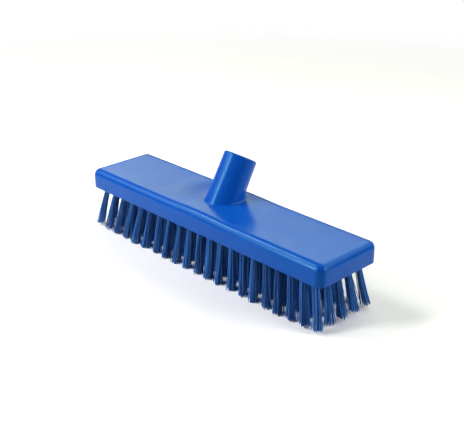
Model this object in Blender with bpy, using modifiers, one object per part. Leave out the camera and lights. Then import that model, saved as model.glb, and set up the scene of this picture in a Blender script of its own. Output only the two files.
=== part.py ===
"""Deck brush head: a moulded block with a slanted handle socket, and rows of splayed bristle tufts.

Metres, +Z up. The brush stands on its bristle tips at Z = 0. The origin is under the middle of the
block, X runs along its length, and the socket leans back towards +Y. The block and the socket are
one moulding. They are two solids here, because the socket alone is hollow: its foot sits in a
shallow recess in the block's top.
"""
import math

import bmesh
import bpy
from mathutils import Matrix, Vector

# Block
BLOCK_LENGTH = 0.305
BLOCK_WIDTH = 0.073
BLOCK_HEIGHT = 0.0194
EDGE_RADIUS = 0.007
EDGE_SEGMENTS = 6
SHARP_ANGLE = math.radians(35)

# Handle socket
SOCKET_TILT = math.radians(30.5)
SOCKET_LENGTH = 0.0436
SOCKET_OFFSET = 0.0029
SOCKET_RIM_RADIUS = 0.0159
SOCKET_DRAFT = math.radians(0.75)
SOCKET_WALL = 0.0037
SOCKET_SIDES = 48
BORE_DEPTH = 0.036
RIM_ROUND = 0.0012
RIM_SEGMENTS = 3
MOUTH_CHAMFER = 0.0006
FOOT_FILLET = 0.002
FOOT_SEGMENTS = 4
FOOT_DEPTH = 0.002

# Tufts
COLUMNS = 21
ROWS = 5
END_INSET = 0.0135
SIDE_INSET = 0.010
BRISTLE_LENGTH = 0.0435
END_SPLAY = math.radians(16.9)
SIDE_SPLAY = math.radians(6.2)
STAGGER_SHARE = 0.5
TUFT_RADIUS = 0.0024
TUFT_BLOOM = 0.0012
RING_STRANDS = 3
RING_SIDES = 4
RING_SHARE = 0.46
SPREAD_SHARE = 0.62
CORE_SIDES = 3
CORE_SHARE = 0.4
COLUMN_TURN = math.radians(37)
ROW_TURN = math.radians(22)

# Slice of the block that each row of tufts is fused to
SLICE_THICKNESS = 0.003
SLICE_MARGIN = 0.0004
ROOT_SHARE = 0.5

# Clearance of what is seated in the block, how far cutters overrun, and how near points are welded
SEAT_GAP = 0.0003
CUT_OVERRUN = 0.005
WELD_DISTANCE = 0.00001

# Sizes worked out from those above
COLUMN_PITCH = (BLOCK_LENGTH - 2 * END_INSET) / (COLUMNS - 1)
ROW_PITCH = (BLOCK_WIDTH - 2 * SIDE_INSET) / (ROWS - 1)
END_COLUMN = (COLUMNS - 1) // 2
END_ROW = (ROWS - 1) // 2
SLICE_HALF_WIDTH = TUFT_RADIUS + SLICE_MARGIN
BORE_RADIUS = SOCKET_RIM_RADIUS - SOCKET_WALL
SOCKET_BASE_RADIUS = SOCKET_RIM_RADIUS + SOCKET_LENGTH * math.tan(SOCKET_DRAFT)
SOCKET_AXIS = Vector((0, math.sin(SOCKET_TILT), math.cos(SOCKET_TILT)))
SOCKET_ACROSS = Vector((0, math.cos(SOCKET_TILT), -math.sin(SOCKET_TILT)))
SOCKET_SIDE = Vector((1, 0, 0))
UP = Vector((0, 0, 1))


def clear_scene():
    """Remove what the file opened with."""
    for item in list(bpy.data.objects):
        bpy.data.objects.remove(item, do_unlink=True)


def new_collection(name):
    """Make a collection in the scene."""
    collection = bpy.data.collections.new(name)
    bpy.context.scene.collection.children.link(collection)
    return collection


def new_material(name, colour, roughness):
    """Make a plain plastic material."""
    material = bpy.data.materials.new(name)
    material.use_nodes = True
    shader = material.node_tree.nodes["Principled BSDF"]
    shader.inputs["Base Color"].default_value = (*colour, 1)
    shader.inputs["Roughness"].default_value = roughness
    shader.inputs["Metallic"].default_value = 0
    return material


def mesh_object(name, bm, collection, parent):
    """Turn a bmesh into an object that hangs from its parent."""
    bmesh.ops.recalc_face_normals(bm, faces=bm.faces)
    mesh = bpy.data.meshes.new(name)
    bm.to_mesh(mesh)
    bm.free()
    item = bpy.data.objects.new(name, mesh)
    item.parent = parent
    collection.objects.link(item)
    return item


def add_boolean(item, other, operation):
    """Cut or join an object with another one, which stays as a wire guide."""
    modifier = item.modifiers.new(operation.lower() + "_" + other.name, "BOOLEAN")
    modifier.operation = operation
    modifier.solver = "EXACT"
    modifier.object = other
    other.hide_render = True
    other.display_type = "WIRE"


def box_bmesh(length, width, height):
    """Make a box with its underside on Z = 0, centred in X and Y."""
    bm = bmesh.new()
    place = Matrix.Translation((0, 0, height / 2)) @ Matrix.Diagonal((length, width, height, 1))
    bmesh.ops.create_cube(bm, size=1, matrix=place)
    return bm


# Block
def make_block(collection, parent, material):
    """Make the block: a box whose upright and top edges are rounded, and whose lower edge is not."""
    bm = box_bmesh(BLOCK_LENGTH, BLOCK_WIDTH, BLOCK_HEIGHT)
    weights = bm.edges.layers.float.new("bevel_weight_edge")
    for edge in bm.edges:
        on_underside = all(vert.co.z < BLOCK_HEIGHT / 2 for vert in edge.verts)
        edge[weights] = 0 if on_underside else 1
    block = mesh_object("block", bm, collection, parent)
    block.location.z = BRISTLE_LENGTH
    block.data.materials.append(material)
    block.data.shade_smooth()
    block.data.set_sharp_from_angle(angle=SHARP_ANGLE)
    bevel = block.modifiers.new("rounded_edges", "BEVEL")
    bevel.limit_method = "WEIGHT"
    bevel.width = EDGE_RADIUS
    bevel.segments = EDGE_SEGMENTS
    return block


# Handle socket
def socket_ring(centre_of, radius):
    """Points round the socket's axis, where centre_of gives the way out and returns the point."""
    ring = []
    for step in range(SOCKET_SIDES):
        turn = math.tau * step / SOCKET_SIDES
        outward = SOCKET_SIDE * math.cos(turn) + SOCKET_ACROSS * math.sin(turn)
        ring.append(centre_of(outward, radius))
    return ring


def along_axis(distance):
    """A ring square to the axis, this far above the block's top."""
    return lambda outward, radius: SOCKET_AXIS * distance + outward * radius


def round_foot(share):
    """A ring on the fillet, which a ball rolls out between the socket and the block's top."""
    def point(outward, radius):
        ball = outward * (radius + FOOT_FILLET)
        rise = FOOT_FILLET - ball.z
        ball += SOCKET_AXIS * (rise / SOCKET_AXIS.z)
        return ball - outward.slerp(UP, share) * FOOT_FILLET
    return point


def foot_outline(height, clearance):
    """A ring straight above or below the fillet's outer edge, with this clearance round it."""
    def point(outward, radius):
        return round_foot(1)(outward, radius + clearance) + UP * height
    return socket_ring(point, SOCKET_BASE_RADIUS)


def socket_rings():
    """All rings of the socket's outside, from the foot in its recess to the inner edge of the rounded rim."""
    rings = [foot_outline(-FOOT_DEPTH, 0)]
    for step in range(FOOT_SEGMENTS, -1, -1):
        rings.append(socket_ring(round_foot(step / FOOT_SEGMENTS), SOCKET_BASE_RADIUS))
    for step in range(RIM_SEGMENTS + 1):
        turn = math.pi / 2 * step / RIM_SEGMENTS
        distance = SOCKET_LENGTH - RIM_ROUND * (1 - math.sin(turn))
        radius = SOCKET_RIM_RADIUS - RIM_ROUND * (1 - math.cos(turn))
        rings.append(socket_ring(along_axis(distance), radius))
    return rings


def add_loft(bm, rings):
    """Skin a stack of rings of the same count, and close both ends."""
    rows = [[bm.verts.new(point) for point in ring] for ring in rings]
    for lower, upper in zip(rows, rows[1:]):
        for step in range(len(lower)):
            after = (step + 1) % len(lower)
            bm.faces.new((lower[step], lower[after], upper[after], upper[step]))
    bm.faces.new(rows[0])
    bm.faces.new(rows[-1])


def loft(rings):
    """Make one closed skin over a stack of rings."""
    bm = bmesh.new()
    add_loft(bm, rings)
    return bm


def make_socket(collection, parent, material):
    """Make the slanted socket, still solid, with its foot down in the block's recess."""
    socket = mesh_object("handle_socket", loft(socket_rings()), collection, parent)
    socket.location = (0, SOCKET_OFFSET, BRISTLE_LENGTH + BLOCK_HEIGHT)
    socket.data.materials.append(material)
    socket.data.shade_smooth()
    socket.data.set_sharp_from_angle(angle=SHARP_ANGLE)
    return socket


def add_recess(block, guides):
    """Cut the recess in the block's top that the socket's foot sits in."""
    rings = [foot_outline(-FOOT_DEPTH - SEAT_GAP, SEAT_GAP), foot_outline(CUT_OVERRUN, SEAT_GAP)]
    recess = mesh_object("recess_shape", loft(rings), guides, block)
    recess.location = (0, SOCKET_OFFSET, BLOCK_HEIGHT)
    add_boolean(block, recess, "DIFFERENCE")


def add_bore(socket, guides):
    """Cut the socket's blind bore, with a chamfer at its mouth, as a turned shape."""
    mouth = BORE_RADIUS + MOUTH_CHAMFER
    profile = [
        (0, CUT_OVERRUN),
        (mouth, CUT_OVERRUN),
        (mouth, 0),
        (BORE_RADIUS, -MOUTH_CHAMFER),
        (BORE_RADIUS, -BORE_DEPTH),
        (0, -BORE_DEPTH),
    ]
    mesh = bpy.data.meshes.new("bore_shape")
    edges = [(step, step + 1) for step in range(len(profile) - 1)]
    mesh.from_pydata([(x, 0, z) for x, z in profile], edges, [])
    bore = bpy.data.objects.new("bore_shape", mesh)
    bore.parent = socket
    bore.location = SOCKET_AXIS * SOCKET_LENGTH
    bore.rotation_euler.x = -SOCKET_TILT
    guides.objects.link(bore)
    screw = bore.modifiers.new("turned", "SCREW")
    screw.steps = SOCKET_SIDES
    screw.render_steps = SOCKET_SIDES
    screw.use_merge_vertices = True
    screw.merge_threshold = WELD_DISTANCE
    add_boolean(socket, bore, "DIFFERENCE")


# Places of the tufts, and the slices that hold them
def is_staggered(column):
    """Whether every second tuft of this row across the block stands in the gap beside it."""
    return 0 < abs(column) < END_COLUMN


def tuft_shift(column, row):
    """How far along the block a tuft stands from the middle line of its row across the block."""
    if row % 2 == 0 or not is_staggered(column):
        return 0
    return -math.copysign(STAGGER_SHARE * COLUMN_PITCH, column)


def tuft_rows(column):
    """Where this row across the block has tufts. The middle one leaves its gaps to its neighbours."""
    step = 2 if column == 0 else 1
    return range(-END_ROW, END_ROW + 1, step)


def slice_rings(column, clearance, low, high):
    """The outline of a slice at two levels: a band from tuft to tuft, with this clearance round it."""
    half_width = SLICE_HALF_WIDTH + clearance
    end = END_ROW * ROW_PITCH + half_width
    line = [(0, -end), (0, end)]
    if is_staggered(column):
        line[1:1] = [(tuft_shift(column, row), row * ROW_PITCH) for row in tuft_rows(column)]
    outline = [(x + half_width, y) for x, y in line] + [(x - half_width, y) for x, y in reversed(line)]
    return [[Vector((x, y, level)) for x, y in outline] for level in (low, high)]


def add_slots(block, guides):
    """Cut the slot that each row's slice sits in, open on the underside."""
    bm = bmesh.new()
    for column in range(-END_COLUMN, END_COLUMN + 1):
        middle = Vector((column * COLUMN_PITCH, 0, 0))
        rings = slice_rings(column, SEAT_GAP, -CUT_OVERRUN, SLICE_THICKNESS + SEAT_GAP)
        add_loft(bm, [[middle + point for point in ring] for ring in rings])
    slots = mesh_object("slot_shapes", bm, guides, block)
    add_boolean(block, slots, "DIFFERENCE")


# Bristles
def add_strand(bm, root, tip, radius, sides, corner):
    """Add a straight strand from inside the slice to the floor, with level ends and a corner this way."""
    slope = (root - tip) / BRISTLE_LENGTH
    top = SLICE_THICKNESS * ROOT_SHARE
    depth = BRISTLE_LENGTH + top
    middle = (top - BRISTLE_LENGTH) / 2
    lean = Matrix.Identity(4)
    lean[0][2] = slope.x
    lean[1][2] = slope.y
    lean[0][3] = root.x
    lean[1][3] = root.y
    place = lean @ Matrix.Translation((0, 0, middle)) @ Matrix.Rotation(corner - math.pi / 2, 4, "Z")
    bmesh.ops.create_cone(
        bm,
        cap_ends=True,
        segments=sides,
        radius1=radius,
        radius2=radius,
        depth=depth,
        matrix=place,
    )


def add_tuft(bm, column, row):
    """Add one tuft: a strand in the middle and a ring round it that opens towards the tips."""
    shift = tuft_shift(column, row)
    lean_x = math.tan(END_SPLAY * (column + shift / COLUMN_PITCH) / END_COLUMN)
    lean_y = math.tan(SIDE_SPLAY * row / END_ROW)
    root = Vector((shift, row * ROW_PITCH))
    tip = root + Vector((lean_x, lean_y)) * BRISTLE_LENGTH
    spread = TUFT_RADIUS * SPREAD_SHARE
    start = math.pi / 2 + column * (COLUMN_TURN + row * ROW_TURN)
    for step in range(RING_STRANDS):
        turn = start + math.tau * step / RING_STRANDS
        outward = Vector((math.cos(turn), math.sin(turn)))
        strand_root = root + outward * spread
        strand_tip = tip + outward * (spread + TUFT_BLOOM)
        corner = turn + math.pi + math.pi / RING_SIDES
        add_strand(bm, strand_root, strand_tip, TUFT_RADIUS * RING_SHARE, RING_SIDES, corner)
    add_strand(bm, root, tip, TUFT_RADIUS * CORE_SHARE, CORE_SIDES, start + math.pi / RING_STRANDS)


def make_bristle_row(column, collection, guides, parent, material):
    """Make one row across the block: its slice, with the row's tufts fused to it."""
    name = f"bristle_row_{column + END_COLUMN + 1:02d}"
    slice_bm = loft(slice_rings(column, 0, 0, SLICE_THICKNESS))
    row_object = mesh_object(name, slice_bm, collection, parent)
    row_object.location = (column * COLUMN_PITCH, 0, BRISTLE_LENGTH)
    row_object.data.materials.append(material)
    bm = bmesh.new()
    for row in tuft_rows(column):
        add_tuft(bm, column, row)
    strands = mesh_object("strands_" + name, bm, guides, row_object)
    add_boolean(row_object, strands, "UNION")


def main():
    clear_scene()
    parts = new_collection("deck_brush")
    guides = new_collection("guides")
    stand = bpy.data.objects.new("brush_stand", None)
    parts.objects.link(stand)
    block_plastic = new_material("block_plastic", (0.018, 0.107, 0.527), 0.38)
    bristle_plastic = new_material("bristle_plastic", (0.014, 0.085, 0.420), 0.45)

    block = make_block(parts, stand, block_plastic)
    add_recess(block, guides)
    add_slots(block, guides)
    socket = make_socket(parts, stand, block_plastic)
    add_bore(socket, guides)

    for column in range(-END_COLUMN, END_COLUMN + 1):
        make_bristle_row(column, parts, guides, stand, bristle_plastic)


main()
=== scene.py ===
"""Looks of the deck brush: one moulded body, its tufts of filaments, their plastics and a plain studio.

Metres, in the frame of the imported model: the bristle tips stand on Z = 0, X runs along the block and
the handle socket leans back towards +Y.
"""

import math

import bmesh
import bpy
import numpy as np
from mathutils import Matrix, Vector
from mathutils.geometry import delaunay_2d_cdt


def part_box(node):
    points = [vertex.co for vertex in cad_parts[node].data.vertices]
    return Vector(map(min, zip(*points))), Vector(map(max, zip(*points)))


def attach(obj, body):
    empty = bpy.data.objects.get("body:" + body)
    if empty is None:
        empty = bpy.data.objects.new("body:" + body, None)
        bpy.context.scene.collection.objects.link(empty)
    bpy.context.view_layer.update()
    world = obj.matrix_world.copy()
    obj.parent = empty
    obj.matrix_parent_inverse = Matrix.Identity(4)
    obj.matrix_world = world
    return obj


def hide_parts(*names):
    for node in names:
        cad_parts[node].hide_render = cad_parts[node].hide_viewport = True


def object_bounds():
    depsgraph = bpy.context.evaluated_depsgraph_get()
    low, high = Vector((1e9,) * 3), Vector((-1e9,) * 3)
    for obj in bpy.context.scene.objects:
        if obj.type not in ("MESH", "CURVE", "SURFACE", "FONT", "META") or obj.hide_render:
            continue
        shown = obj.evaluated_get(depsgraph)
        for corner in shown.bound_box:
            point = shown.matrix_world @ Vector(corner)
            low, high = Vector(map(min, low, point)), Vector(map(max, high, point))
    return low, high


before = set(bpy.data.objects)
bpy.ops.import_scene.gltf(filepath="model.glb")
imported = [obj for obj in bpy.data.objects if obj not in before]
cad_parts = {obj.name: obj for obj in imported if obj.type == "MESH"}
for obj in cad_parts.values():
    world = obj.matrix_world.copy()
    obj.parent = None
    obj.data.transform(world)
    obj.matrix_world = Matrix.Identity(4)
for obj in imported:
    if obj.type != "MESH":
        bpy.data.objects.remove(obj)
cad_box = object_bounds()

UP = Vector((0, 0, 1))
WHITE = (1, 1, 1, 1)

# Block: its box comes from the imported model
BLOCK_LOW, BLOCK_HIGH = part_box("block")
HALF_LENGTH = BLOCK_HIGH.x
HALF_WIDTH = BLOCK_HIGH.y
UNDERSIDE = BLOCK_LOW.z
BLOCK_TOP = BLOCK_HIGH.z
EDGE_RADIUS = 0.007
EDGE_SEGMENTS = 14
LOWER_ROUND = 0.0005
LOWER_SEGMENTS = 4
WALL_STEPS = 4
CORNER_SIDES = ((1, 1), (-1, 1), (-1, -1), (1, -1))
GRID_STEP = 0.003
BODY_SHARP_ANGLE = math.radians(50)

# Welding of patches, and the kind of triangulation that stays inside its outlines
WELD_DISTANCE = 0.000002
INSIDE_OUTLINES = 1

# Low swell of the block's top round the socket's foot. It starts on the block's side, this share of
# the edge radius below the top
SWELL_HEIGHT = 0.0011
SWELL_REACH = 0.034
SWELL_START_SHARE = 1.4

# Handle socket
SOCKET_TILT = math.radians(30.5)
SOCKET_LENGTH = 0.0436
SOCKET_OFFSET = 0.0029
SOCKET_RIM_RADIUS = 0.0159
SOCKET_DRAFT = math.radians(0.75)
SOCKET_WALL = 0.0037
SOCKET_SIDES = 96
SOCKET_STEPS = 10
RIM_ROUND = 0.0018
RIM_SEGMENTS = 6
MOUTH_CHAMFER = 0.0006
FOOT_FILLET = 0.002
FOOT_SEGMENTS = 8

# Points of the top round the foot, as shares of the fillet's outer edge: rings near it, then the grid
FOOT_RING_SHARES = (1.04, 1.09, 1.15)
GRID_START_SHARE = 1.2

# Bore and its thread, whose flanks rise and fall over these shares of the pitch
BORE_DEPTH = 0.036
BORE_STEP = 0.0003
THREAD_PITCH = 0.005
THREAD_DEPTH = 0.0011
THREAD_START = 0.003
THREAD_END = 0.031
THREAD_RUN_IN = 0.0025
THREAD_RISE_SHARES = (0.15, 0.38)
THREAD_FALL_SHARES = (0.62, 0.85)

# Tufts and their drilled holes
COLUMNS = 21
ROWS = 5
END_INSET = 0.0135
SIDE_INSET = 0.010
STAGGER_SHARE = 0.5
LEFT_SPLAY = math.radians(15.6)
RIGHT_SPLAY = math.radians(11.5)
SIDE_SPLAY = math.radians(6.2)
HOLE_RADIUS = 0.0030
HOLE_CHAMFER = 0.0003
HOLE_DEPTH = 0.006
HOLE_SIDES = 24

# Filaments of a tuft, which spread by the bloom towards their tips
FILAMENTS = 46
FILAMENT_RADIUS = 0.00036
FILAMENT_SIDES = 5
FILAMENT_RINGS = 5
FILAMENT_SHARP_ANGLE = math.radians(80)
GOLDEN_HALF_TURNS = 3 - math.sqrt(5)
ROOT_DEPTH = 0.005
BLOOM = 0.0018
BLOOM_POWER = 1.5

# How tufts and filaments differ by chance
SEED = 20
BLOOM_RANGE_SHARE = 0.3
TUFT_SWAY = 0.0005
TIP_SCATTER = 0.00055
TIP_RAISE = 0.0007
TIP_RAISE_POWER = 2
BEND = 0.0004
STRAY_SHARE = 0.08
STRAY_REACH = 0.0022

# How much higher the tips end towards both ends of the block
END_RAISE = 0.0024
END_RAISE_POWER = 7

# Noise: the part of its range that is used. Scales are in features per metre
NOISE_LOW = 0.3
NOISE_HIGH = 0.7

# Moulded plastic
BLOCK_DARK = (0.0030, 0.088, 0.485, 1)
BLOCK_LIGHT = (0.0050, 0.100, 0.540, 1)
BLOCK_TINT = (0.3, 0.9, 1.0, 1.0)
BLOCK_SPECULAR = 0.25
BLOCK_ROUGHNESS = (0.20, 0.27)
CLOUD_SCALE = 28.0
CLOUD_DETAIL = 3.0
CLOUD_SHARE = 0.7
FLECK_SCALE = 900.0
FLECK_SHARE = 0.3
GLOSS_SCALE = 60.0
GLOSS_DETAIL = 4.0
SKIN_SCALE = 1400.0
SKIN_STRENGTH = 0.25
SKIN_DEPTH = 0.00004

# Filament plastic
FILAMENT_DARK = (0.005, 0.028, 0.160, 1)
FILAMENT_LIGHT = (0.080, 0.335, 0.990, 1)
FILAMENT_TINT = (0.5, 0.9, 1.0, 1.0)
FILAMENT_SPECULAR = 0.5
FILAMENT_ROUGHNESS = (0.30, 0.40)
FILAMENT_SHARE = 0.7
STREAK_SCALE = 2600.0
STREAK_STRETCH = (1.0, 1.0, 0.05)
STREAK_SHARE = 0.3
TIP_COLOUR = (0.060, 0.220, 0.560, 1)
TIP_HEIGHT = 0.0025
TIP_SHARE = 0.35

# Floor: the gain lifts it for the camera and for reflections, and far out it fades to white
FLOOR_HALF = 3.0
FLOOR_CELLS = 8
FLOOR_TONES = (0.27, 0.28)
FLOOR_SCALE = 3.0
FLOOR_GAIN = 4.3
FLOOR_FADE_START = 0.45
FLOOR_FADE_END = 1.1

# Room: its light falls off the more a direction points to the dark side
ROOM_DARK_SIDE = (0.72, -0.69, 0.0)
ROOM_FADE_START = -0.2
ROOM_FADE_END = 0.6
ROOM_BRIGHT = 0.08
ROOM_DARK = 0.01

# Lamps
LAMP_TARGET = Vector((0, 0, 0.06))
BACK_PANEL_PLACE = (-1.3, 1.2, 1.15)
BACK_PANEL_TARGET = (-1.3, 0, 1.15)

# Camera, placed from the middle of the block's underside
IMAGE_WIDTH = 464
SENSOR_WIDTH = 36
FOCAL_PIXELS = 871.3
CAMERA_AZIMUTH = math.radians(45.93)
CAMERA_ELEVATION = math.radians(24.46)
CAMERA_DISTANCE = 0.812
CAMERA_SIDE = 0.00973
CAMERA_RISE = -0.00088

# Sizes worked out from those above
FLAT_HALF_X = HALF_LENGTH - EDGE_RADIUS
FLAT_HALF_Y = HALF_WIDTH - EDGE_RADIUS
RUNS_X = round(2 * FLAT_HALF_X / GRID_STEP)
RUNS_Y = round(2 * FLAT_HALF_Y / GRID_STEP)
RING_MARGIN = GRID_STEP / 3
SHEET_TOLERANCE = WELD_DISTANCE / 10
TUFT_LENGTH = UNDERSIDE
END_COLUMN = (COLUMNS - 1) // 2
END_ROW = (ROWS - 1) // 2
ROOT_REACH_X = HALF_LENGTH - END_INSET
ROOT_REACH_Y = HALF_WIDTH - SIDE_INSET
COLUMN_PITCH = ROOT_REACH_X / END_COLUMN
ROW_PITCH = ROOT_REACH_Y / END_ROW
MOUTH_RADIUS = HOLE_RADIUS + HOLE_CHAMFER
BORE_RADIUS = SOCKET_RIM_RADIUS - SOCKET_WALL
SOCKET_BASE_RADIUS = SOCKET_RIM_RADIUS + SOCKET_LENGTH * math.tan(SOCKET_DRAFT)
SOCKET_AXIS = Vector((0, math.sin(SOCKET_TILT), math.cos(SOCKET_TILT)))
SOCKET_ACROSS = Vector((0, math.cos(SOCKET_TILT), -math.sin(SOCKET_TILT)))
SOCKET_SIDE = Vector((1, 0, 0))
SOCKET_ORIGIN = Vector((0, SOCKET_OFFSET, BLOCK_TOP))
FOOT_HALF_X = SOCKET_BASE_RADIUS + FOOT_FILLET
FOOT_HALF_Y = FOOT_HALF_X / math.cos(SOCKET_TILT)
FOOT_CENTRE_Y = SOCKET_OFFSET + (FOOT_FILLET + SWELL_HEIGHT) * math.tan(SOCKET_TILT)


# Mesh helpers
def smoothstep(low, high, value):
    """Rise smoothly from 0 at low to 1 at high."""
    share = min(1, max(0, (value - low) / (high - low)))
    return share * share * (3 - 2 * share)


def add_bridge(bm, rings):
    """Skin a stack of closed rings that have the same count of points."""
    rows = [[bm.verts.new(point) for point in ring] for ring in rings]
    for lower, upper in zip(rows, rows[1:]):
        for step in range(len(lower)):
            after = (step + 1) % len(lower)
            bm.faces.new((lower[step], lower[after], upper[after], upper[step]))


def add_cap(bm, ring):
    """Close a ring with a fan round its middle."""
    outer = [bm.verts.new(point) for point in ring]
    middle = bm.verts.new(sum(ring, Vector()) / len(ring))
    for step in range(len(outer)):
        bm.faces.new((outer[step], outer[(step + 1) % len(outer)], middle))


def add_sheet(bm, outlines, inner, height_at, is_hole):
    """Fill the flat region between closed outlines with triangles, and lift each point to its height."""
    points = []
    edges = []
    for outline in outlines:
        first = len(points)
        points += [Vector((point[0], point[1])) for point in outline]
        count = len(outline)
        edges += [(first + step, first + (step + 1) % count) for step in range(count)]
    points += [Vector(point) for point in inner]
    verts, _, faces, _, _, _ = delaunay_2d_cdt(points, edges, [], INSIDE_OUTLINES, SHEET_TOLERANCE)
    made = [bm.verts.new((vert.x, vert.y, height_at(vert.x, vert.y))) for vert in verts]
    for face in faces:
        middle = sum((verts[index] for index in face), Vector((0, 0))) / len(face)
        if not is_hole(middle.x, middle.y):
            bm.faces.new([made[index] for index in face])
    for vert in made:
        if not vert.link_faces:
            bm.verts.remove(vert)


def link_mesh(name, mesh, sharp_angle):
    """Shade a mesh smooth between its sharp edges and put it in the scene."""
    mesh.shade_smooth()
    mesh.set_sharp_from_angle(angle=sharp_angle)
    item = bpy.data.objects.new(name, mesh)
    bpy.context.scene.collection.objects.link(item)
    return item


# Moulded body
def foot_share(x, y):
    """How far out this place is, where 1 is the outer edge of the foot's fillet."""
    return math.hypot(x / FOOT_HALF_X, (y - FOOT_CENTRE_Y) / FOOT_HALF_Y)


def swell(x, y):
    """How far the block's top rises here round the socket's foot."""
    distance = max(0, foot_share(x, y) - 1) * FOOT_HALF_X
    return SWELL_HEIGHT * (1 + math.cos(math.pi * min(1, distance / SWELL_REACH))) / 2


def block_ring(corner_radius, height):
    """One level of the block's side, corner arcs and straight runs, lifted by the swell near the top."""
    lift = smoothstep(BLOCK_TOP - SWELL_START_SHARE * EDGE_RADIUS, BLOCK_TOP, height)
    centres = [Vector((side_x * FLAT_HALF_X, side_y * FLAT_HALF_Y)) for side_x, side_y in CORNER_SIDES]
    ring = []
    for quarter, centre in enumerate(centres):
        start = quarter * math.pi / 2
        for step in range(EDGE_SEGMENTS + 1):
            turn = start + math.pi / 2 * step / EDGE_SEGMENTS
            ring.append(centre + Vector((math.cos(turn), math.sin(turn))) * corner_radius)
        end = start + math.pi / 2
        outward = Vector((math.cos(end), math.sin(end))) * corner_radius
        next_centre = centres[(quarter + 1) % len(centres)]
        count = RUNS_X if quarter % 2 == 0 else RUNS_Y
        for step in range(1, count):
            ring.append(centre.lerp(next_centre, step / count) + outward)
    return [Vector((point.x, point.y, height + lift * swell(point.x, point.y))) for point in ring]


def block_side_rings():
    """All levels of the block's side, from the edge of the underside to the edge of the flat top."""
    rings = []
    for step in range(LOWER_SEGMENTS + 1):
        turn = math.pi / 2 * step / LOWER_SEGMENTS
        shrink = LOWER_ROUND * (1 - math.sin(turn))
        rings.append(block_ring(EDGE_RADIUS - shrink, UNDERSIDE + LOWER_ROUND * (1 - math.cos(turn))))
    low = UNDERSIDE + LOWER_ROUND
    high = BLOCK_TOP - EDGE_RADIUS
    for step in range(1, WALL_STEPS):
        rings.append(block_ring(EDGE_RADIUS, low + (high - low) * step / WALL_STEPS))
    for step in range(EDGE_SEGMENTS + 1):
        turn = math.pi / 2 * step / EDGE_SEGMENTS
        rings.append(block_ring(EDGE_RADIUS * math.cos(turn), high + EDGE_RADIUS * math.sin(turn)))
    return rings


def unique_points(ring):
    """The ring without points that repeat the one before."""
    kept = []
    for point in ring:
        if not kept or (point - kept[-1]).length > WELD_DISTANCE:
            kept.append(point)
    if (kept[0] - kept[-1]).length <= WELD_DISTANCE:
        kept.pop()
    return kept


def top_points():
    """Points inside the block's top: rings close round the socket's foot, and a grid beyond them."""
    points = []
    for share in FOOT_RING_SHARES:
        for step in range(SOCKET_SIDES):
            turn = math.tau * step / SOCKET_SIDES
            x = FOOT_HALF_X * share * math.cos(turn)
            y = FOOT_CENTRE_Y + FOOT_HALF_Y * share * math.sin(turn)
            if abs(y) < FLAT_HALF_Y - RING_MARGIN:
                points.append((x, y))
    for step_x in range(1, RUNS_X):
        for step_y in range(1, RUNS_Y):
            x = FLAT_HALF_X * (2 * step_x / RUNS_X - 1)
            y = FLAT_HALF_Y * (2 * step_y / RUNS_Y - 1)
            if foot_share(x, y) > GRID_START_SHARE:
                points.append((x, y))
    return points


def add_block_top(bm, edge_ring, foot_ring):
    """Fill the top between its edge and the socket's foot."""
    add_sheet(
        bm,
        [unique_points(edge_ring), foot_ring],
        top_points(),
        lambda x, y: BLOCK_TOP + swell(x, y),
        lambda x, y: foot_share(x, y) < 1,
    )


def tuft_lean(root):
    """The way a tuft leans, as its shift in X and Y for each metre down."""
    end_splay = LEFT_SPLAY if root.x < 0 else RIGHT_SPLAY
    turn_x = end_splay * root.x / ROOT_REACH_X
    turn_y = SIDE_SPLAY * root.y / ROOT_REACH_Y
    return Vector((math.tan(turn_x), math.tan(turn_y), 0))


def tuft_places():
    """Column and root place of each tuft. Inside its ends, every second row stands in the gaps."""
    for column in range(-END_COLUMN, END_COLUMN + 1):
        for row in range(-END_ROW, END_ROW + 1):
            place = column
            if row % 2 and abs(column) < END_COLUMN:
                if column == 0:
                    continue
                place -= math.copysign(STAGGER_SHARE, column)
            yield column, Vector((place * COLUMN_PITCH, row * ROW_PITCH, UNDERSIDE))


def hole_ring(root, lean, radius, depth):
    """A ring of a tuft's hole, this deep above the underside."""
    ring = []
    for step in range(HOLE_SIDES):
        turn = math.tau * step / HOLE_SIDES
        ring.append(root - lean * depth + Vector((math.cos(turn) * radius, math.sin(turn) * radius, depth)))
    return ring


def add_underside(bm, edge_ring):
    """Fill the underside round the drilled holes, and add each hole."""
    outlines = [edge_ring]
    roots = [root for _, root in tuft_places()]
    for root in roots:
        lean = tuft_lean(root)
        mouth = hole_ring(root, lean, MOUTH_RADIUS, 0)
        throat = hole_ring(root, lean, HOLE_RADIUS, HOLE_CHAMFER)
        end = hole_ring(root, lean, HOLE_RADIUS, HOLE_DEPTH)
        outlines.append(mouth)
        add_bridge(bm, [mouth, throat, end])
        add_cap(bm, end)

    def in_hole(x, y):
        return any(math.hypot(x - root.x, y - root.y) < MOUTH_RADIUS for root in roots)

    add_sheet(bm, outlines, [], lambda x, y: UNDERSIDE, in_hole)


def socket_ring(place):
    """Points round the socket's axis, where place gives a point for its way out and its turn."""
    ring = []
    for step in range(SOCKET_SIDES):
        turn = math.tau * step / SOCKET_SIDES
        outward = SOCKET_SIDE * math.cos(turn) + SOCKET_ACROSS * math.sin(turn)
        ring.append(SOCKET_ORIGIN + place(outward, turn))
    return ring


def round_foot(share):
    """A ring on the fillet, which a ball rolls out between the socket and the swell's crown."""
    def place(outward, turn):
        ball = outward * FOOT_HALF_X
        rise = FOOT_FILLET + SWELL_HEIGHT - ball.z
        ball += SOCKET_AXIS * (rise / SOCKET_AXIS.z)
        return ball - outward.slerp(UP, share) * FOOT_FILLET
    return socket_ring(place)


def level_ring(distance, radius):
    """A ring square to the axis, this far along it."""
    return socket_ring(lambda outward, turn: SOCKET_AXIS * distance + outward * radius)


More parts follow.
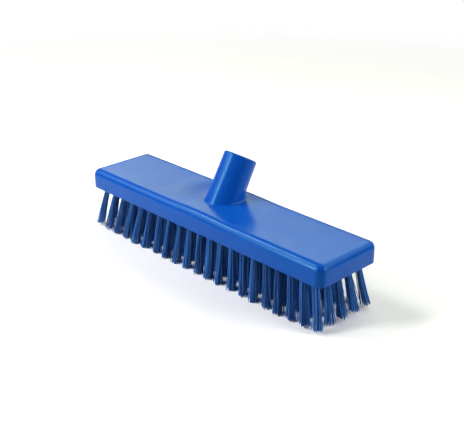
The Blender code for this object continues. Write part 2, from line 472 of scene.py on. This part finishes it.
def thread_ring(depth):
    """A ring of the threaded bore, this deep below the rim."""
    fade = smoothstep(THREAD_START, THREAD_START + THREAD_RUN_IN, depth)
    fade *= 1 - smoothstep(THREAD_END - THREAD_RUN_IN, THREAD_END, depth)

    def place(outward, turn):
        phase = (depth / THREAD_PITCH - turn / math.tau) % 1
        crest = smoothstep(*THREAD_RISE_SHARES, phase) * (1 - smoothstep(*THREAD_FALL_SHARES, phase))
        radius = BORE_RADIUS - THREAD_DEPTH * fade * crest
        return SOCKET_AXIS * (SOCKET_LENGTH - depth) + outward * radius
    return socket_ring(place)


def add_socket(bm):
    """Add the socket's skin: fillet, wall, rounded rim, chamfered mouth, threaded bore and its floor."""
    rings = [round_foot(step / FOOT_SEGMENTS) for step in range(FOOT_SEGMENTS, -1, -1)]
    shoulder = level_ring(SOCKET_LENGTH - RIM_ROUND, SOCKET_RIM_RADIUS)
    foot = rings[-1]
    for step in range(1, SOCKET_STEPS):
        rings.append([low.lerp(high, step / SOCKET_STEPS) for low, high in zip(foot, shoulder)])
    for step in range(RIM_SEGMENTS + 1):
        turn = math.pi / 2 * step / RIM_SEGMENTS
        distance = SOCKET_LENGTH - RIM_ROUND * (1 - math.sin(turn))
        rings.append(level_ring(distance, SOCKET_RIM_RADIUS - RIM_ROUND * (1 - math.cos(turn))))
    rings.append(level_ring(SOCKET_LENGTH, BORE_RADIUS + MOUTH_CHAMFER))
    steps = round((BORE_DEPTH - MOUTH_CHAMFER) / BORE_STEP)
    for step in range(steps + 1):
        rings.append(thread_ring(MOUTH_CHAMFER + (BORE_DEPTH - MOUTH_CHAMFER) * step / steps))
    add_bridge(bm, rings)
    add_cap(bm, rings[-1])
    return rings[0]


def make_body():
    """Make the moulded body, block and socket in one skin whose patches are welded together."""
    bm = bmesh.new()
    foot_ring = add_socket(bm)
    side = block_side_rings()
    add_bridge(bm, side)
    add_block_top(bm, side[-1], foot_ring)
    add_underside(bm, side[0])
    bmesh.ops.remove_doubles(bm, verts=bm.verts, dist=WELD_DISTANCE)
    bmesh.ops.recalc_face_normals(bm, faces=bm.faces)
    mesh = bpy.data.meshes.new("moulded_body")
    bm.to_mesh(mesh)
    bm.free()
    return link_mesh("moulded_body", mesh, BODY_SHARP_ANGLE)


# Filaments
def level_ways(turns):
    """A level unit vector for each of these turns."""
    return np.stack([np.cos(turns), np.sin(turns), np.zeros(len(turns))], axis=1)


def tuft_filaments(root, random):
    """Centre lines of one tuft's filaments, as an array of filament, ring and coordinate."""
    lean = np.array(tuft_lean(root))
    count = np.arange(FILAMENTS)
    outward = level_ways(count * math.pi * GOLDEN_HALF_TURNS + random.uniform(0, math.tau))
    sideways = np.stack([-outward[:, 1], outward[:, 0], np.zeros(FILAMENTS)], axis=1)
    share = np.sqrt((count + 0.5) / FILAMENTS)
    start = outward * (share * (HOLE_RADIUS - FILAMENT_RADIUS))[:, None]
    bloom = BLOOM * (1 + random.uniform(-BLOOM_RANGE_SHARE, BLOOM_RANGE_SHARE))
    sway = np.array([random.normal(0, TUFT_SWAY), random.normal(0, TUFT_SWAY), 0])
    reach = bloom * share + random.normal(0, TIP_SCATTER, FILAMENTS)
    stray = random.random(FILAMENTS) < STRAY_SHARE
    reach = np.where(stray, reach + random.uniform(0, STRAY_REACH, FILAMENTS), reach)
    drift = sway + outward * reach[:, None] + sideways * random.normal(0, TIP_SCATTER, FILAMENTS)[:, None]
    bend = level_ways(random.uniform(0, math.tau, FILAMENTS)) * BEND
    tip_z = TIP_RAISE * random.random(FILAMENTS) ** TIP_RAISE_POWER
    tip_z += END_RAISE * abs(root.x / ROOT_REACH_X) ** END_RAISE_POWER
    low = np.array(cad_box[0][:2]) + FILAMENT_RADIUS
    high = np.array(cad_box[1][:2]) - FILAMENT_RADIUS
    lines = np.zeros((FILAMENTS, FILAMENT_RINGS, 3))
    for ring in range(FILAMENT_RINGS):
        down = ring / (FILAMENT_RINGS - 1)
        z = (UNDERSIDE + ROOT_DEPTH) * (1 - down) + tip_z * down
        below = UNDERSIDE - z
        open_share = np.clip(below / TUFT_LENGTH, 0, 1) ** BLOOM_POWER
        place = np.array(root) + start + lean * below[:, None]
        place += drift * open_share[:, None] + bend * math.sin(math.pi * down)
        place[:, :2] = np.clip(place[:, :2], low, high)
        place[:, 2] = z
        lines[:, ring] = place
    return lines


def tube_faces(first, rings):
    """Faces of one closed tube whose points start at this number, ring by ring."""
    faces = []
    for ring in range(rings - 1):
        upper = first + ring * FILAMENT_SIDES
        lower = upper + FILAMENT_SIDES
        for side in range(FILAMENT_SIDES):
            after = (side + 1) % FILAMENT_SIDES
            faces.append((lower + side, lower + after, upper + after, upper + side))
    last = first + rings * FILAMENT_SIDES - 1
    faces.append(tuple(first + side for side in range(FILAMENT_SIDES)))
    faces.append(tuple(last - side for side in range(FILAMENT_SIDES)))
    return faces


def make_bristle_row(column, random):
    """Make the filaments of one row across the block as one mesh of closed tubes."""
    roots = [root for place_column, root in tuft_places() if place_column == column]
    lines = np.concatenate([tuft_filaments(root, random) for root in roots])
    count, rings, _ = lines.shape
    section = level_ways(np.arange(FILAMENT_SIDES) * math.tau / FILAMENT_SIDES) * FILAMENT_RADIUS
    verts = (lines[:, :, None, :] + section[None, None]).reshape(-1, 3)
    faces = []
    for filament in range(count):
        faces += tube_faces(filament * rings * FILAMENT_SIDES, rings)
    name = f"filament_row_{column + END_COLUMN + 1:02d}"
    mesh = bpy.data.meshes.new(name)
    mesh.from_pydata(verts.tolist(), [], faces)
    return link_mesh(name, mesh, FILAMENT_SHARP_ANGLE)


# Node helpers
def new_material(name):
    """A material with an empty node tree, and that tree."""
    material = bpy.data.materials.new(name)
    material.use_nodes = True
    tree = material.node_tree
    tree.nodes.clear()
    return material, tree


def add_node(tree, kind, settings=None, inputs=None):
    """Add a node, set its properties and feed its inputs with values or other nodes' outputs."""
    node = tree.nodes.new(kind)
    for name, value in (settings or {}).items():
        setattr(node, name, value)
    for name, value in (inputs or {}).items():
        if isinstance(value, bpy.types.NodeSocket):
            tree.links.new(value, node.inputs[name])
        else:
            node.inputs[name].default_value = value
    return node


def add_place(tree):
    """Where a point is on its object, in metres."""
    return add_node(tree, "ShaderNodeTexCoord").outputs["Object"]


def add_math(tree, operation, first, second):
    """One operation on two values."""
    return add_node(tree, "ShaderNodeMath", {"operation": operation}, {0: first, 1: second}).outputs[0]


def add_range(tree, value, low, high, to_low, to_high, smooth=False):
    """Map a value from one range to another."""
    kind = "SMOOTHSTEP" if smooth else "LINEAR"
    return add_node(
        tree,
        "ShaderNodeMapRange",
        {"interpolation_type": kind},
        {"Value": value, "From Min": low, "From Max": high, "To Min": to_low, "To Max": to_high},
    ).outputs["Result"]


def add_noise(tree, place, scale, detail=2.0):
    """Noise at this many features per metre."""
    inputs = {"Vector": place, "Scale": scale, "Detail": detail}
    return add_node(tree, "ShaderNodeTexNoise", None, inputs).outputs["Fac"]


def add_variation(tree, noise, low, high):
    """Turn noise into a value that varies between low and high."""
    return add_range(tree, noise, NOISE_LOW, NOISE_HIGH, low, high)


def add_mix(tree, share, first, second):
    """Mix two colours by this share of the second. The mix node's sockets 6 and 7 are its colours."""
    inputs = {0: share, 6: first, 7: second}
    return add_node(tree, "ShaderNodeMix", {"data_type": "RGBA"}, inputs).outputs[2]


def add_output(tree, kind, shader):
    """End a node tree with its output."""
    add_node(tree, kind, None, {"Surface": shader.outputs[0]})


def add_plastic(tree, inputs):
    """End a node tree as a plastic with these inputs."""
    shader = add_node(tree, "ShaderNodeBsdfPrincipled", None, {"Metallic": 0.0, **inputs})
    add_output(tree, "ShaderNodeOutputMaterial", shader)


# Materials
def make_block_plastic():
    """Satin moulded plastic: faint flow marks in the colour, uneven gloss and a fine leathery skin."""
    material, tree = new_material("moulded_plastic")
    place = add_place(tree)
    cloud = add_variation(tree, add_noise(tree, place, CLOUD_SCALE, CLOUD_DETAIL), 0.0, CLOUD_SHARE)
    fleck = add_variation(tree, add_noise(tree, place, FLECK_SCALE), 0.0, FLECK_SHARE)
    gloss = add_noise(tree, place, GLOSS_SCALE, GLOSS_DETAIL)
    skin = add_noise(tree, place, SKIN_SCALE)
    bump_inputs = {"Height": skin, "Strength": SKIN_STRENGTH, "Distance": SKIN_DEPTH}
    bump = add_node(tree, "ShaderNodeBump", None, bump_inputs)
    add_plastic(
        tree,
        {
            "Base Color": add_mix(tree, add_math(tree, "ADD", cloud, fleck), BLOCK_DARK, BLOCK_LIGHT),
            "Roughness": add_variation(tree, gloss, *BLOCK_ROUGHNESS),
            "Normal": bump.outputs["Normal"],
            "Specular IOR Level": BLOCK_SPECULAR,
            "Specular Tint": BLOCK_TINT,
        },
    )
    return material


def make_filament_plastic():
    """Drawn filament: each a little lighter or darker, with fine streaks along it and paler cut tips."""
    material, tree = new_material("filament_plastic")
    place = add_place(tree)
    island = add_node(tree, "ShaderNodeNewGeometry").outputs["Random Per Island"]
    stretched = add_node(tree, "ShaderNodeMapping", None, {"Vector": place, "Scale": STREAK_STRETCH})
    streak = add_noise(tree, stretched.outputs[0], STREAK_SCALE)
    own_tone = add_math(tree, "MULTIPLY", island, FILAMENT_SHARE)
    tone = add_math(tree, "ADD", own_tone, add_math(tree, "MULTIPLY", streak, STREAK_SHARE))
    height = add_node(tree, "ShaderNodeSeparateXYZ", None, {"Vector": place}).outputs["Z"]
    tip = add_range(tree, height, 0.0, TIP_HEIGHT, TIP_SHARE, 0.0, True)
    shaft_colour = add_mix(tree, tone, FILAMENT_DARK, FILAMENT_LIGHT)
    add_plastic(
        tree,
        {
            "Base Color": add_mix(tree, tip, shaft_colour, TIP_COLOUR),
            "Roughness": add_variation(tree, streak, *FILAMENT_ROUGHNESS),
            "Specular IOR Level": FILAMENT_SPECULAR,
            "Specular Tint": FILAMENT_TINT,
        },
    )
    return material


def make_floor_paint():
    """Matt pale floor, which the camera and reflections see as white except where it is shaded."""
    material, tree = new_material("floor_paint")
    path = add_node(tree, "ShaderNodeLightPath")
    seen = add_math(tree, "MAXIMUM", path.outputs["Is Camera Ray"], path.outputs["Is Glossy Ray"])
    place = add_place(tree)
    tone = add_variation(tree, add_noise(tree, place, FLOOR_SCALE), *FLOOR_TONES)
    gain = add_range(tree, seen, 0.0, 1.0, 1.0, FLOOR_GAIN)
    white = add_math(tree, "MULTIPLY", tone, gain)
    paint = add_node(tree, "ShaderNodeBsdfDiffuse", None, {"Color": white})
    away = add_node(tree, "ShaderNodeVectorMath", {"operation": "LENGTH"}, {0: place}).outputs["Value"]
    fade = add_range(tree, away, FLOOR_FADE_START, FLOOR_FADE_END, 0.0, 1.0, True)
    far = add_math(tree, "MULTIPLY", fade, seen)
    backdrop = add_node(tree, "ShaderNodeEmission", None, {"Color": WHITE, "Strength": 1.0})
    mix = add_node(tree, "ShaderNodeMixShader", None, {0: far, 1: paint.outputs[0], 2: backdrop.outputs[0]})
    add_output(tree, "ShaderNodeOutputMaterial", mix)
    return material


# Studio
def make_floor():
    """A wide level floor under the tips."""
    bm = bmesh.new()
    bmesh.ops.create_grid(bm, x_segments=FLOOR_CELLS, y_segments=FLOOR_CELLS, size=FLOOR_HALF)
    mesh = bpy.data.meshes.new("floor")
    bm.to_mesh(mesh)
    bm.free()
    floor = bpy.data.objects.new("floor", mesh)
    bpy.context.scene.collection.objects.link(floor)
    mesh.materials.append(make_floor_paint())


def make_world():
    """Dim room, darkest towards the front right, which the camera itself sees as white."""
    world = bpy.data.worlds.new("studio")
    bpy.context.scene.world = world
    world.use_nodes = True
    tree = world.node_tree
    tree.nodes.clear()
    way = add_node(tree, "ShaderNodeTexCoord").outputs["Generated"]
    inputs = {0: way, 1: ROOM_DARK_SIDE}
    towards = add_node(tree, "ShaderNodeVectorMath", {"operation": "DOT_PRODUCT"}, inputs).outputs["Value"]
    light = add_range(tree, towards, ROOM_FADE_START, ROOM_FADE_END, ROOM_BRIGHT, ROOM_DARK, True)
    room = add_node(tree, "ShaderNodeBackground", None, {"Color": WHITE, "Strength": light})
    white = add_node(tree, "ShaderNodeBackground", None, {"Color": WHITE, "Strength": 1.0})
    is_camera = add_node(tree, "ShaderNodeLightPath").outputs["Is Camera Ray"]
    mix = add_node(tree, "ShaderNodeMixShader", None, {0: is_camera, 1: room.outputs[0], 2: white.outputs[0]})
    add_output(tree, "ShaderNodeOutputWorld", mix)


def add_panel(name, place, target, width, height, radiance, colour=(1, 1, 1)):
    """A soft rectangular lamp of this radiance, facing its target, with its width level."""
    data = bpy.data.lights.new(name, "AREA")
    data.color = colour
    data.shape = "RECTANGLE"
    data.size = width
    data.size_y = height
    data.energy = radiance * math.pi * width * height
    lamp = bpy.data.objects.new(name, data)
    bpy.context.scene.collection.objects.link(lamp)
    lamp.visible_camera = False
    lamp.location = place
    lamp.rotation_euler = (Vector(place) - Vector(target)).to_track_quat("Z", "Y").to_euler()


def add_softbox(name, way, distance, width, height, radiance):
    """A soft lamp this way and distance from the object."""
    place = LAMP_TARGET + Vector(way).normalized() * distance
    add_panel(name, place, LAMP_TARGET, width, height, radiance)


def make_lamps():
    """Soft lamps at the left, the front, the back and the right end, and a wide panel at the back left."""
    add_softbox("key", (-0.66, -0.46, 0.60), distance=1.2, width=0.6, height=0.6, radiance=3.6)
    add_softbox("left_top", (-0.56, -0.28, 0.78), distance=1.2, width=0.3, height=0.3, radiance=12.0)
    add_softbox("left_end", (-0.70, -0.22, 0.68), distance=1.2, width=0.4, height=0.3, radiance=1.2)
    add_softbox("back_top", (0.12, 0.72, 0.68), distance=1.2, width=0.6, height=0.4, radiance=2.05)
    add_softbox("back_right", (0.58, 0.56, 0.59), distance=1.2, width=0.6, height=0.5, radiance=2.5)
    add_softbox("front", (-0.40, -0.806, 0.44), distance=1.1, width=0.24, height=0.6, radiance=17.6)
    add_softbox("right_end", (0.86, 0.34, 0.37), distance=1.2, width=0.5, height=0.4, radiance=10.0)
    add_panel(
        "back_panel",
        BACK_PANEL_PLACE,
        BACK_PANEL_TARGET,
        width=2.6,
        height=0.86,
        radiance=2.85,
        colour=(0.92, 1.0, 0.64),
    )


def make_camera():
    """Camera at the photograph's viewing angle."""
    azimuth, elevation = CAMERA_AZIMUTH, CAMERA_ELEVATION
    back = Vector((
        math.sin(azimuth) * math.cos(elevation),
        -math.cos(azimuth) * math.cos(elevation),
        math.sin(elevation),
    ))
    right = UP.cross(back).normalized()
    up = back.cross(right)
    place = UP * UNDERSIDE + back * CAMERA_DISTANCE + right * CAMERA_SIDE + up * CAMERA_RISE
    data = bpy.data.cameras.new("camera")
    data.sensor_width = SENSOR_WIDTH
    data.lens = SENSOR_WIDTH * FOCAL_PIXELS / IMAGE_WIDTH
    camera = bpy.data.objects.new("camera", data)
    bpy.context.scene.collection.objects.link(camera)
    turn = Matrix((right, up, back)).transposed().to_4x4()
    camera.matrix_world = Matrix.Translation(place) @ turn
    bpy.context.scene.camera = camera


# Scene
block_plastic = make_block_plastic()
filament_plastic = make_filament_plastic()

body = make_body()
body.data.materials.append(block_plastic)
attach(body, "root")
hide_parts("block", "handle_socket")

generator = np.random.default_rng(SEED)
for column in range(-END_COLUMN, END_COLUMN + 1):
    filaments = make_bristle_row(column, generator)
    filaments.data.materials.append(filament_plastic)
    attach(filaments, "root")
    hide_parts(f"bristle_row_{column + END_COLUMN + 1:02d}")

make_floor()
make_world()
make_lamps()
make_camera()
bpy.context.scene.view_settings.view_transform = "Standard"
